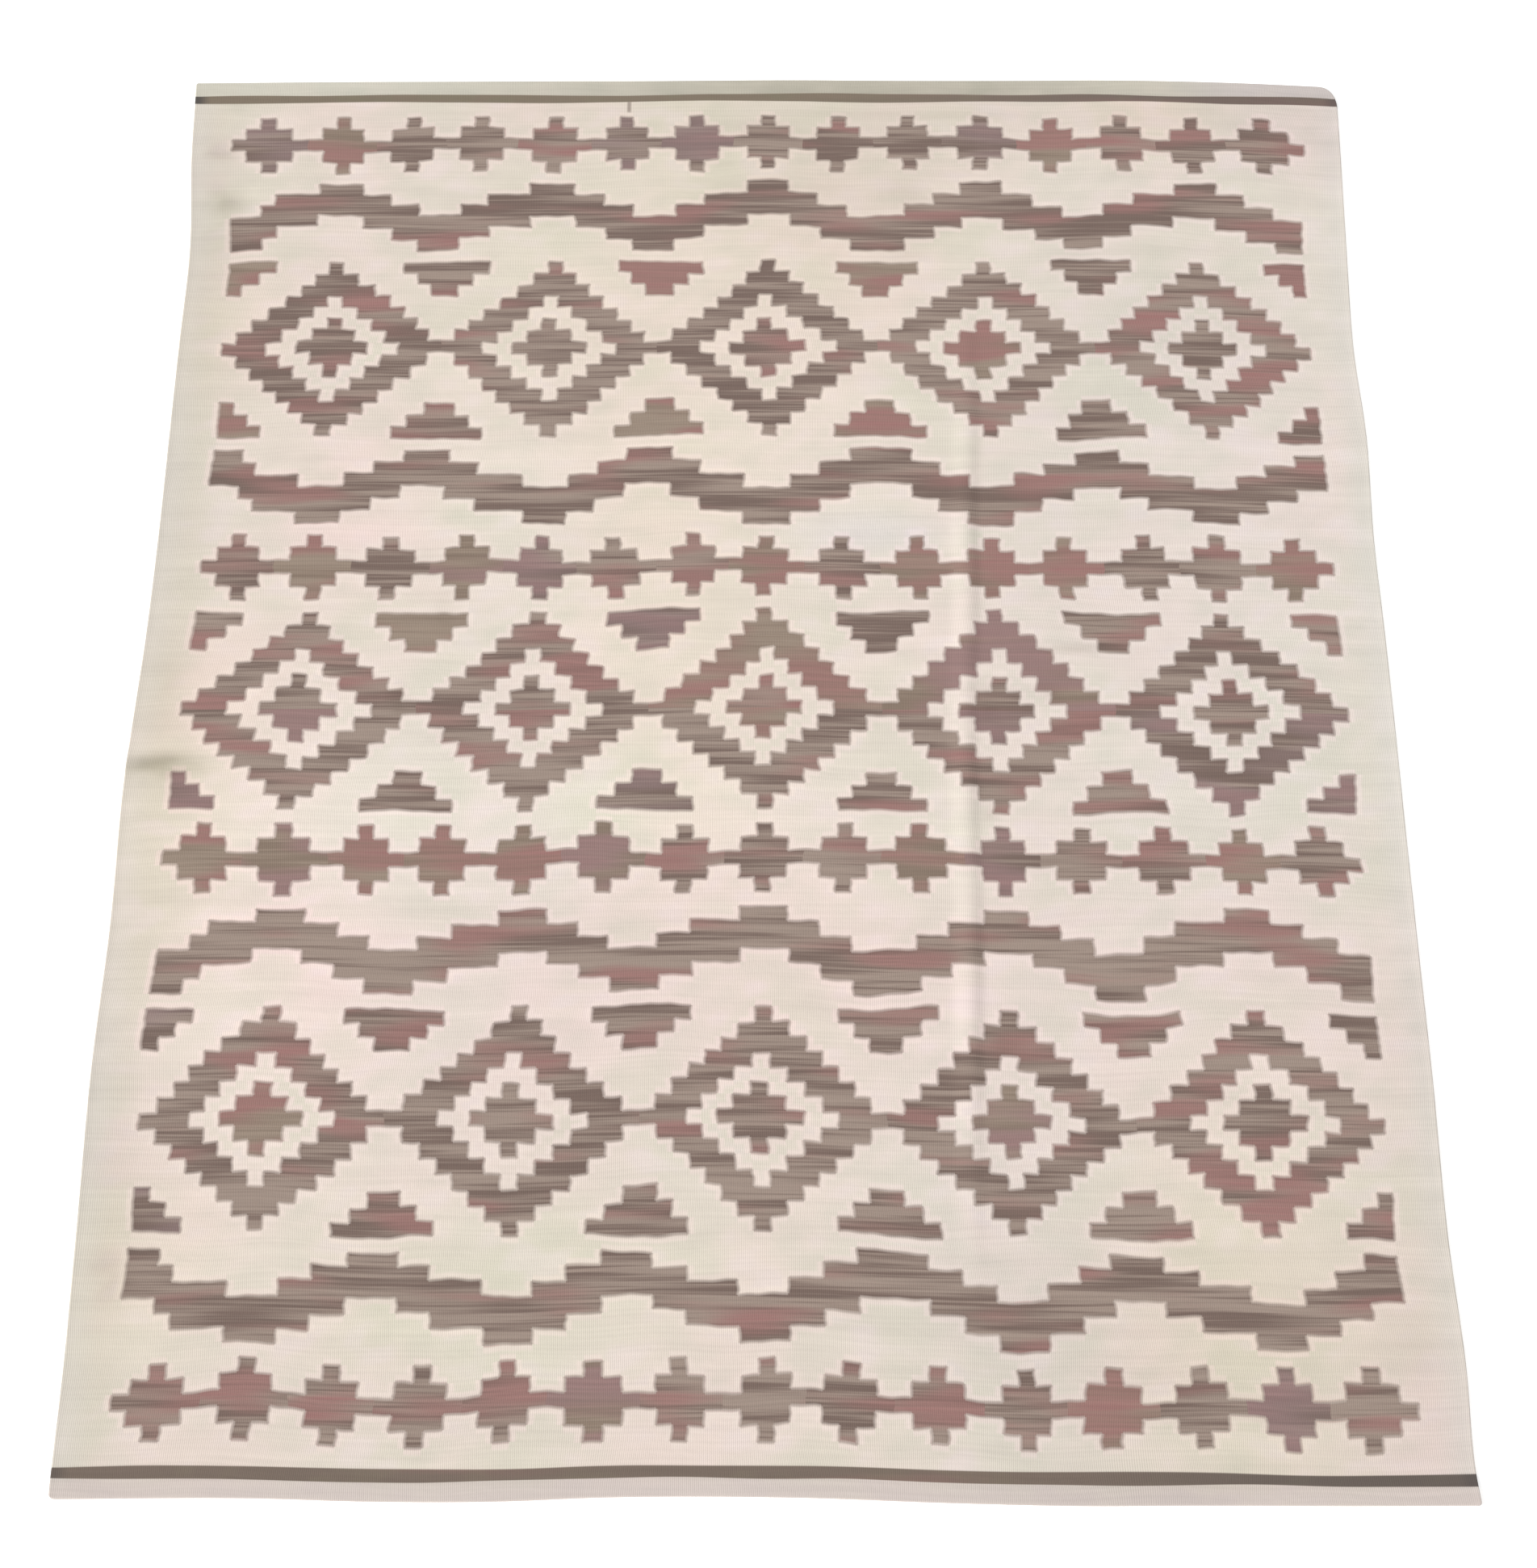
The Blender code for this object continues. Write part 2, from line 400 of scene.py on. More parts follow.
class Value:
    """A number in a material. Python's operators on it add the Math nodes that work it out."""

    def __init__(self, graph: "Graph", socket: bpy.types.NodeSocket) -> None:
        """Wraps one output socket of a node."""
        self.graph = graph
        self.socket = socket

    def math(self, operation: str, *others: "Value | float") -> "Value":
        """A Math node on this value and others, its second and third inputs."""
        return self.graph.number(operation, self, *others)

    def __rsub__(self, other: float) -> "Value":
        """A number minus this."""
        return self.graph.number("SUBTRACT", other, self)

    # A comparison is 1 where it holds and 0 elsewhere, part is what is over the whole number below, and
    # near is 1 where this and another value differ by no more than a third one
    __add__ = __radd__ = partialmethod(math, "ADD")
    __sub__ = partialmethod(math, "SUBTRACT")
    __mul__ = __rmul__ = partialmethod(math, "MULTIPLY")
    __truediv__ = partialmethod(math, "DIVIDE")
    __lt__ = partialmethod(math, "LESS_THAN")
    __gt__ = partialmethod(math, "GREATER_THAN")
    __abs__ = partialmethod(math, "ABSOLUTE")
    floor = partialmethod(math, "FLOOR")
    part = partialmethod(math, "FRACT")
    least = partialmethod(math, "MINIMUM")
    most = partialmethod(math, "MAXIMUM")
    near = partialmethod(math, "COMPARE")

    def smooth(self, low: float, high: float) -> "Value":
        """Rises smoothly from 0 at low to 1 at high, or falls where low is the larger."""
        settings = {"interpolation_type": "SMOOTHSTEP"}
        if low < high:
            return self.graph.node("ShaderNodeMapRange", settings, {0: self, 1: low, 2: high})
        return self.graph.node("ShaderNodeMapRange", settings, {0: self, 1: high, 2: low, 3: 1.0, 4: 0.0})

    def ramp(self, ramp: Ramp, shift: float = 0.0) -> "Value":
        """Rises smoothly from 0 to the ramp's share, with the ramp moved by the shift."""
        rise = self.smooth(ramp.low + shift, ramp.high + shift)
        return rise if ramp.share == 1 else rise * ramp.share


class Graph:
    """A material's node tree, built by expressions."""

    def __init__(self, name: str) -> None:
        """Makes an empty material of that name."""
        self.material = bpy.data.materials.new(name)
        self.material.use_nodes = True
        self.tree = self.material.node_tree
        self.tree.nodes.clear()

    def add(self, kind: str, settings: dict | None = None, sockets: dict | None = None) -> bpy.types.Node:
        """Adds a node.

        Args:
            kind: the node's type.
            settings: its properties.
            sockets: values or links of its inputs, by name or number.

        Returns:
            The node.
        """
        node = self.tree.nodes.new(kind)
        for name, value in (settings or {}).items():
            setattr(node, name, value)
        for name, value in (sockets or {}).items():
            if isinstance(value, Value):
                value = value.socket
            if isinstance(value, bpy.types.NodeSocket):
                self.tree.links.new(value, node.inputs[name])
            else:
                node.inputs[name].default_value = value
        return node

    def node(self, kind: str, settings: dict | None, sockets: dict, output: int | str = 0) -> Value:
        """Adds a node, as add does, and returns one of its outputs."""
        return Value(self, self.add(kind, settings, sockets).outputs[output])

    def number(self, operation: str, *inputs: Value | float) -> Value:
        """A Math node whose first input may be a plain number."""
        return self.node("ShaderNodeMath", {"operation": operation}, dict(enumerate(inputs)))

    def vector(self, x: Value | float, y: Value | float, z: Value | float = 0.0) -> Value:
        """A vector of three values."""
        return self.node("ShaderNodeCombineXYZ", None, {0: x, 1: y, 2: z})

    def mix(self, share: Value | float, below: object, above: object, blend: Blend = Blend.MIX) -> Value:
        """Lays a linear colour over another one. Its share of what is seen goes from 0 to 1."""
        settings = {"data_type": "RGBA", "blend_type": blend.value}
        return self.node("ShaderNodeMix", settings, {0: share, 6: below, 7: above}, 2)

    def dim(self, colour: object, factor: Value) -> Value:
        """A colour made lighter or darker by a factor, alike in red, green and blue."""
        return self.mix(1.0, colour, self.vector(factor, factor, factor), Blend.MULTIPLY)

    def noise(self, where: Value, detail: float) -> Value:
        """Smooth flat noise, from 0 to 1 about a half, with one wave to a unit of where."""
        sockets = {"Vector": where, "Scale": 1.0, "Detail": detail}
        return self.node("ShaderNodeTexNoise", {"noise_dimensions": "2D"}, sockets)

    def random(self, where: Value) -> Value:
        """A number from 0 to 1 for each whole vector."""
        return self.node("ShaderNodeTexWhiteNoise", {"noise_dimensions": "3D"}, {"Vector": where})

    def surface(self, sockets: dict) -> bpy.types.Material:
        """Ends the tree in a Principled shader with these inputs, and returns the material."""
        shader = self.add("ShaderNodeBsdfPrincipled", None, sockets)
        self.add("ShaderNodeOutputMaterial", None, {"Surface": shader.outputs[0]})
        return self.material


# How far apart the noises of two seeds start, in their own waves across and along
SEED_STEP_ACROSS = 7.3
SEED_STEP_ALONG = 3.1


class Waves(NamedTuple):
    """Smooth noise on the cloth: its waves in a metre across and along, its start and its finer detail."""

    across: float
    along: float
    seed: float
    detail: float = 0.0


class Place:
    """A point of the flat cloth as its material sees it: u across and v along, in metres from the middle."""

    def __init__(self, graph: Graph, uv_map: str) -> None:
        """Reads the piece's own UV map."""
        self.graph = graph
        where = graph.node("ShaderNodeUVMap", {"uv_map": uv_map}, {})
        parts = graph.add("ShaderNodeSeparateXYZ", None, {0: where})
        self.u, self.v = Value(graph, parts.outputs[0]), Value(graph, parts.outputs[1])

    def noise(self, waves: Waves) -> Value:
        """Noise of its own for each seed, from 0 to 1 about a half."""
        x = self.u.math("MULTIPLY_ADD", waves.across, waves.seed * SEED_STEP_ACROSS)
        y = self.v.math("MULTIPLY_ADD", waves.along, waves.seed * SEED_STEP_ALONG)
        return self.graph.noise(self.graph.vector(x, y), waves.detail)


class Tints:
    """The cloth's soft unevennesses as its material sees them, each from -1 to 1, its soil and painted
    shade, and its cast and painted highlight, a factor for red, green and blue."""

    def __init__(self, graph: Graph) -> None:
        """Reads the piece's own attributes."""
        tints = graph.add("ShaderNodeAttribute", {"attribute_name": "tints"})
        parts = graph.add("ShaderNodeSeparateXYZ", None, {0: tints.outputs["Vector"]})
        self.dye, self.greening, self.mottle = (Value(graph, socket) for socket in parts.outputs)
        self.soil_and_shade = graph.node("ShaderNodeAttribute", {"attribute_name": "marks"}, {}, "Fac")
        self.cast = graph.node("ShaderNodeAttribute", {"attribute_name": "cast"}, {}, "Vector")


@dataclass(frozen=True)
class Yarn:
    """The dyed wools, as colours on the screen, and how the wool takes light."""

    cream: RGB = (218, 208, 195)
    cream_pink: RGB = (224, 208, 198)
    cream_green: RGB = (210, 205, 187)
    cream_mauve: RGB = (219, 206, 203)
    cream_grey: RGB = (215, 208, 198)
    cream_clean: RGB = (226, 211, 201)
    taupe: RGB = (155, 138, 127)
    brown: RGB = (117, 99, 91)
    rose: RGB = (153, 112, 108)
    mauve: RGB = (146, 124, 124)
    olive: RGB = (147, 131, 113)
    stripe: RGB = (118, 104, 94)
    stripe_olive: RGB = (125, 115, 98)
    hem_pale: RGB = (205, 201, 187)
    hem_green: RGB = (180, 175, 160)
    hem_mauve: RGB = (198, 189, 185)
    hem_pink: RGB = (203, 191, 185)
    soot: RGB = (72, 70, 70)
    # the colour that soil and the painted shade of folds and creases darken the wool toward
    grime_and_shade: tuple[float, float, float, float] = (0.42, 0.43, 0.36, 1.0)
    roughness: float = 0.92
    sheen: float = 0.12
    specular: float = 0.25


@dataclass(frozen=True)
class Chart:
    """The weaver's chart. It counts modules from the rug's middle, and both ways across and along it are
    alike. Rows of large stepped lozenges alternate with zigzags and chains of small lozenges."""

    columns: int = 75
    rows: int = 99
    lozenge_period: float = 15
    small_period: float = 5
    fold_row: float = 29
    large_rows: float = 7.5
    wall_ring: float = 6
    wall_half: float = 1.6
    core_ring: float = 2.5
    between_ring: float = 11.5
    small_centre: float = 18
    small_ring: float = 2.5
    zigzag_line: float = 13
    band_edges: tuple[float, ...] = (8, 14, 21, 37, 44)
    zigzag_half: float = 3.0
    little_blocks: int = 40
    between_blocks: int = 80
    second_draw: tuple[int, int, int] = (7, 33, 9)


@dataclass(frozen=True)
class Dyeing:
    """How uneven the dark yarns are: their streaks along the wefts, and where each dye sets in."""

    broad: Waves = Waves(2.2, 40.0, 11.0, 1.0)
    broad_depth: float = 2.1
    fine: Waves = Waves(4.5, 190.0, 13.0, 1.0)
    fine_depth: float = 1.5
    hue: Waves = Waves(3.4, 16.0, 19.0, 1.0)
    start_across: float = 31
    start_along: float = 17
    lot_depth: float = 0.55
    olive_from: float = 0.72
    olive_share: float = 0.5
    rose: Ramp = Ramp(0.44, 0.72)
    rose_by_lot: float = 0.25
    rose_by_streak: float = 0.05
    rose_in_brown: float = 0.60
    rose_in_taupe: float = 0.30
    mauve_below: float = 0.22
    mauve: Ramp = Ramp(0.35, 0.6, 0.5)


@dataclass(frozen=True)
class Blotches:
    """Where the cream's tints set in, by the cloth's unevennesses, or in metres from its long edges."""

    dye_part: float = 0.6
    pink: Ramp = Ramp(-0.35, 0.45)
    left_green: Ramp = Ramp(0.14, 0.05, 0.35)
    green: Ramp = Ramp(-0.20, 0.70, 0.52)
    mauve: Ramp = Ramp(0.10, 0.70, 0.4)
    grey: Ramp = Ramp(-0.070, -0.010, 0.7)
    lazy_depth: float = 0.10
    mottle_depth: float = 0.045


@dataclass(frozen=True)
class Ends:
    """The end stripes, the hems and a dark tuft. Places across are in metres from the rug's middle, those
    of the tips from its edge, and places along from its end. The tuft's are both from the middle."""

    inset: float = 0.0352
    shift: float = 0.0028
    width: float = 0.0210
    thinning: float = 0.0025
    margin: float = 0.040
    right_shift: Ramp = Ramp(0.95, 1.20, 0.004)
    outer_edge: Ramp = Ramp(-0.001, 0.001)
    inner_edge: Ramp = Ramp(0.0015, -0.0015)
    hem_edge: Ramp = Ramp(0.001, -0.001)
    dull: Ramp = Ramp(-1.0, 0.15)
    dull_right: Ramp = Ramp(0.45, 0.85, 0.55)
    mauve: Ramp = Ramp(0.80, 1.05)
    near_shade: Ramp = Ramp(0.2, 0.6)
    near_shade_right: Ramp = Ramp(1.0, 0.7, 0.06)
    far_shade: Ramp = Ramp(0.008, 0.034, 0.10)
    near_wear: Ramp = Ramp(0.034, 0.010, 0.3)
    mottle_wear: float = 0.2
    hem_share: float = 0.62
    far_hem_share: float = 0.28
    rose: Ramp = Ramp(0.50, 0.75, 0.30)
    olive: Ramp = Ramp(0.6, 0.0, 0.8)
    olive_mottle: Ramp = Ramp(0.0, 0.6, 0.3)
    soot: Ramp = Ramp(0.4, 1.1)
    near_soot: float = 0.45
    less_far_soot: float = 0.15
    tips: Ramp = Ramp(-0.036, -0.006)
    tip_soot: float = 0.4
    tuft_across: float = -0.294
    tuft_along: float = 1.456
    tuft_width: Ramp = Ramp(0.0062, 0.0018)
    tuft_length: Ramp = Ramp(0.019, 0.010, 0.6)


@dataclass(frozen=True)
class Weave:
    """The weave's sizes in metres: its ribs, picks and changes of yarn, and the motifs' drawn-in edges.
    Depths are how much darker or lighter a thing is, as a share; the slits at the motifs' edges and the
    valleys of the weave get painted shade."""

    rib_pitch: float = 0.0034
    pick_pitch: float = 0.0018
    yarn_change: float = 0.0050
    relief: float = 0.0008
    relief_strength: float = 0.40
    pick_depth: float = 0.45
    slit: float = 0.0032
    rim: float = 0.0090
    clean_reach: float = 0.0150
    clean_full: float = 0.0080
    fray: float = 0.0045
    fray_share: float = 0.5
    edge_soft: float = 0.0005
    slit_shade_depth: float = 0.12
    rim_depth: float = 0.09
    strand_waves: float = 4.0
    cream_strand_depth: float = 0.08
    more_strand_depth: float = 0.10
    rib_shade_depth: float = 0.05
    valley_light: float = 0.968
    fuzz_height: float = 0.8
    soil_and_shade: Ramp = Ramp(-0.5, 0.5, 0.9)
    least_soil_and_shade: float = 0.45


@dataclass(frozen=True)
class Hand:
    """Where the hand shows: the fine noises of the cloth, and how far its lines stray, in metres."""

    jog_across: Waves = Waves(9.0, 60.0, 2.7)
    jog_along: Waves = Waves(28.0, 9.0, 5.9)
    jog: float = 0.0050
    stripe_outer: Waves = Waves(3.6, 0.4, 41.0)
    stripe_inner: Waves = Waves(2.9, 0.5, 43.0)
    stripe_stray: float = 0.011
    lazy_lines: Waves = Waves(1.6, 26.0, 31.0, 1.0)
    fuzz: Waves = Waves(50.0, 110.0, 61.0)


@dataclass
class WovenWool:
    """The cloth's material: weft-faced wool, woven to the chart, with its uneven dyes and its marks, some
    of them painted shade of folds, and painted shade in its slits and in the weave's valleys.
    """

    width: float
    length: float
    chart: Chart = field(default_factory=Chart)
    weave: Weave = field(default_factory=Weave)
    hand: Hand = field(default_factory=Hand)
    yarn: Yarn = field(default_factory=Yarn)
    dyeing: Dyeing = field(default_factory=Dyeing)
    blotches: Blotches = field(default_factory=Blotches)
    stripes: Ends = field(default_factory=Ends)
    side_margin: float = 0.090

    def motif(self, i: Value, j: Value) -> tuple[Value, Value]:
        """Which modules of the chart are dark.

        Args:
            i: the module's number across, from the middle.
            j: its number along, from the middle, without its sign.

        Returns:
            1 on a dark module and 0 on a cream one, and the same for the small lozenges alone.
        """
        chart = self.chart
        fold = abs(j - chart.fold_row)
        row = j.least(fold)
        across = i.math("PINGPONG", chart.lozenge_period / 2)
        ring = across + row
        large = ring.near(chart.wall_ring, chart.wall_half) + (ring < chart.core_ring)
        large = (large + (ring > chart.between_ring)) * (row < chart.large_rows)
        zigzag = (fold + (across / 2).floor()).near(chart.zigzag_line, chart.wall_half)
        step = i.math("PINGPONG", chart.small_period / 2) + abs(fold - chart.small_centre)
        small = step < chart.small_ring
        inside = (abs(i) < chart.columns / 2) * (j < chart.rows / 2)
        return large.most(zigzag).most(small) * inside, small

    def lots(self, g: Graph, i: Value, j: Value, v: Value, small: Value) -> tuple[Value, Value]:
        """Two random numbers that each motif has to itself, as it was woven from its own lot of yarn.

        Args:
            g: the material's graph.
            i: the module's number across.
            j: its number along, without its sign.
            v: the place along the rug, for its sign.
            small: 1 on the small lozenges.

        Returns:
            The two numbers, from 0 to 1.
        """
        chart = self.chart
        fold = abs(j - chart.fold_row)
        ring = i.math("PINGPONG", chart.lozenge_period / 2) + j.least(fold)
        band = sum((j > edge for edge in chart.band_edges), 1.0)
        wavy = fold.near(chart.between_ring, chart.zigzag_half)
        between = ring > chart.between_ring
        large = (i / chart.lozenge_period + 0.5 + between * 0.5).floor() * (1 - wavy)
        little = (i / chart.small_period + 0.5).floor() + chart.little_blocks
        block = small * little + (1 - small) * (large + between * chart.between_blocks)
        core = ring < chart.core_ring + 1
        row = band * v.math("SIGN")

        def draw(shift: tuple[int, int, int]) -> Value:
            """A random number for the motif, another for each shift."""
            return g.random(g.vector(*(n + (whole + 0.5) for n, whole in zip((block, row, core), shift))))

        return draw((0, 0, 0)), draw(chart.second_draw)

    def dark_yarn(self, at: Place, lot: Value, lot_b: Value) -> Value:
        """The motifs' colour: bands and streaks of taupe, brown and rose along the wefts.

        Args:
            at: the place on the cloth.
            lot: the motif's first random number.
            lot_b: its second.

        Returns:
            The colour.
        """
        g, yarn, dyeing = at.graph, self.yarn, self.dyeing

        def streaks(waves: Waves) -> Value:
            """Noise drawn out along the wefts, which starts anew in each motif."""
            x = at.u * waves.across + lot * dyeing.start_across + waves.seed
            return g.noise(g.vector(x, at.v * waves.along + lot_b * dyeing.start_along), waves.detail)

        broad = (streaks(dyeing.broad) - 0.5) * dyeing.broad_depth
        fine = (streaks(dyeing.fine) - 0.5) * dyeing.fine_depth
        tone = broad + fine + (lot - 0.5) * dyeing.lot_depth + 0.5
        hue = streaks(dyeing.hue)
        shade = g.mix(tone.smooth(0.0, 1.0), linear(yarn.brown), linear(yarn.taupe))
        shade = g.mix((lot_b > dyeing.olive_from) * dyeing.olive_share, shade, linear(yarn.olive))
        rosy = (hue + (lot_b - 0.5) * dyeing.rose_by_lot + fine * dyeing.rose_by_streak).ramp(dyeing.rose)
        shade = g.mix(rosy * (tone * dyeing.rose_in_taupe + dyeing.rose_in_brown), shade, linear(yarn.rose))
        return g.mix((lot < dyeing.mauve_below) * hue.ramp(dyeing.mauve), shade, linear(yarn.mauve))

    def ground(self, at: Place, tints: Tints, lazy: Value, clean: Value) -> Value:
        """The cream wool: blotches of pink, green and mauve, greener at the left and grey at the selvedges.

        Args:
            at: the place on the cloth.
            tints: the cloth's soft unevennesses there.
            lazy: noise in long bands across.
            clean: 1 close to a motif, where the cream is cleaner and pinker.

        Returns:
            The colour.
        """
        g, yarn, blotches, half = at.graph, self.yarn, self.blotches, self.width / 2
        patch = tints.dye * blotches.dye_part + tints.mottle * (1 - blotches.dye_part)
        wool = g.mix(patch.ramp(blotches.pink), linear(yarn.cream), linear(yarn.cream_pink))
        green = tints.greening + at.u.ramp(blotches.left_green, -half)
        wool = g.mix(green.ramp(blotches.green), wool, linear(yarn.cream_green))
        wool = g.mix(tints.mottle.ramp(blotches.mauve), wool, linear(yarn.cream_mauve))
        wool = g.mix(abs(at.u).ramp(blotches.grey, half), wool, linear(yarn.cream_grey))
        wool = g.mix(clean, wool, linear(yarn.cream_clean))
        return g.dim(wool, (lazy - 0.5) * blotches.lazy_depth + tints.mottle * blotches.mottle_depth + 1.0)

    def ends(self, at: Place, wool: Value, tints: Tints, lazy: Value) -> Value:
        """Lays the turned hems and the dark end stripes over the wool.

        Args:
            at: the place on the cloth.
            wool: the colour under them.
            tints: the cloth's soft unevennesses there.
            lazy: noise in long bands across.

        Returns:
            The joined colour.
        """
        g, yarn, hand, ends, half = at.graph, self.yarn, self.hand, self.stripes, self.width / 2
        far = at.v > 0
        end = self.length / 2 - abs(at.v)
        sign = at.v.math("SIGN")
        inset = ends.inset + sign * ends.shift - far * at.u.ramp(ends.right_shift)
        outer = end - inset + (at.noise(hand.stripe_outer) - 0.5) * hand.stripe_stray
        inner = end - inset + (at.noise(hand.stripe_inner) - 0.5) * hand.stripe_stray
        inner = inner - ends.width + sign * ends.thinning

        dull = at.u.ramp(ends.dull) * (1 - at.u.ramp(ends.dull_right))
        far_hem = g.mix(dull, linear(yarn.hem_pale), linear(yarn.hem_green))
        far_hem = g.mix(at.u.ramp(ends.mauve), far_hem, linear(yarn.hem_mauve))
        shade = at.u.ramp(ends.near_shade) * at.u.ramp(ends.near_shade_right)
        hem_colour = g.mix(far, g.dim(linear(yarn.hem_pink), 1 - shade), far_hem)
        hem_colour = g.dim(hem_colour, 1 - end.ramp(ends.far_shade) * far)
        worn = tints.mottle * ends.mottle_wear + end.ramp(ends.near_wear) * (1 - far)
        hem = outer.ramp(ends.hem_edge) * (worn + far * ends.far_hem_share + ends.hem_share).least(1.0)

        olive = far * at.u.ramp(ends.olive) + tints.mottle.ramp(ends.olive_mottle)
        band = g.mix(lazy.ramp(ends.rose), linear(yarn.stripe), linear(yarn.rose))
        band = g.mix(olive, band, linear(yarn.stripe_olive))
        soot = at.u.ramp(ends.soot) * (ends.near_soot - far * ends.less_far_soot)
        band = g.mix(soot, band, linear(yarn.soot))
        tips = abs(at.u).ramp(ends.tips, half) * (far * (at.u < 0) * ends.tip_soot + ends.tip_soot)
        band = g.mix(tips, band, linear(yarn.soot))
        stripe = outer.ramp(ends.outer_edge) * inner.ramp(ends.inner_edge)

        tuft = abs(at.u - ends.tuft_across).ramp(ends.tuft_width)
        tuft = tuft * abs(at.v - ends.tuft_along).ramp(ends.tuft_length)
        wool = g.mix(tuft, wool, linear(yarn.brown))
        return g.mix(stripe, g.mix(hem, wool, hem_colour), band)

    def material(self) -> bpy.types.Material:
        """Builds the whole material.

        Returns:
            The material, which reads the piece's own UV map, in metres of flat cloth, and its marks.
        """
        g = Graph("woven_wool")
        at, woven, tints = Place(g, "cloth"), Place(g, "weave"), Tints(g)
        yarn, chart, weave, hand = self.yarn, self.chart, self.weave, self.hand
        u, v = woven.u, woven.v
        module_across = (self.width / 2 - self.side_margin) * 2 / chart.columns
        trim = self.stripes.inset + self.stripes.width + self.stripes.margin
        module_along = (self.length / 2 - trim) * 2 / chart.rows
        count_u = (u + (at.noise(hand.jog_across) - 0.5) * hand.jog) / module_across + 0.5
        count_v = abs(v + (at.noise(hand.jog_along) - 0.5) * hand.jog) / module_along + 0.5
        i, j = count_u.floor(), count_v.floor()
        at_u, at_v = count_u.part() - 0.5, count_v.part() - 0.5
        dark, small = self.motif(i, j)

        beside, _ = self.motif(i + at_u.math("SIGN"), j)
        above, _ = self.motif(i, j + at_v.math("SIGN"))
        turns_u, turns_v = 1 - dark.near(beside, 0.5), 1 - dark.near(above, 0.5)
        gap_u, gap_v = (0.5 - abs(at_u)) * module_across, (0.5 - abs(at_v)) * module_along

        def beside_edge(reach: float, full: float = weave.edge_soft) -> Value:
            """1 beside a motif's edge, falling from where it is full to 0 at the reach."""
            across = turns_u * gap_u.smooth(reach, full)
            return across.most(turns_v * gap_v.smooth(reach, full))

        lot, lot_b = self.lots(g, i, j, at.v, small)
        lazy = at.noise(hand.lazy_lines)
        cream = self.ground(at, tints, lazy, beside_edge(weave.clean_reach, weave.clean_full))
        # the casts, and a painted highlight on the long crease's lit flank
        cream = g.mix(1.0, cream, tints.cast, Blend.MULTIPLY)
        share = dark + (1 - dark * 2) * beside_edge(weave.fray) * weave.fray_share
        wool = self.ends(at, g.mix(share, cream, self.dark_yarn(at, lot, lot_b)), tints, lazy)

        rib = u / weave.rib_pitch
        rib_at = (rib.part() - 0.5) * 2
        pick = v / weave.pick_pitch + (rib.floor() / 2).part()
        pick_at = (pick.part() - 0.5) * 2
        height = (1 - rib_at * rib_at) * (1 - pick_at * pick_at * weave.pick_depth)
        strands = g.noise(g.vector(u * weave.strand_waves, v / weave.yarn_change), 0.0) - 0.5

        # soil, and painted shade on the tuck, beside the long crease and along the wrinkle, darken the wool
        soil_and_shade = tints.soil_and_shade * (tints.mottle.ramp(weave.soil_and_shade) + weave.least_soil_and_shade)
        wool = g.mix(1.0, wool, g.mix(soil_and_shade, WHITE, yarn.grime_and_shade), Blend.MULTIPLY)
        # painted shade in the slits at the dark motifs' edges, and a wider darker rim inside them
        slit, rim = beside_edge(weave.slit) * weave.slit_shade_depth, beside_edge(weave.rim) * weave.rim_depth
        light = 1 - dark * (slit + rim)
        light = light * (strands * (dark * weave.more_strand_depth + weave.cream_strand_depth) + 1.0)
        # painted shade in the valleys between the ribs and picks
        light = light * (height * weave.rib_shade_depth + weave.valley_light)
        relief = g.node("ShaderNodeBump", None, {
            "Strength": weave.relief_strength,
            "Distance": weave.relief,
            "Height": height + at.noise(hand.fuzz) * weave.fuzz_height,
        })
        return g.surface({
            "Base Color": g.dim(wool, light),
            "Roughness": yarn.roughness,
            "Sheen Weight": yarn.sheen,
            "Specular IOR Level": yarn.specular,
            "Normal": relief,
        })


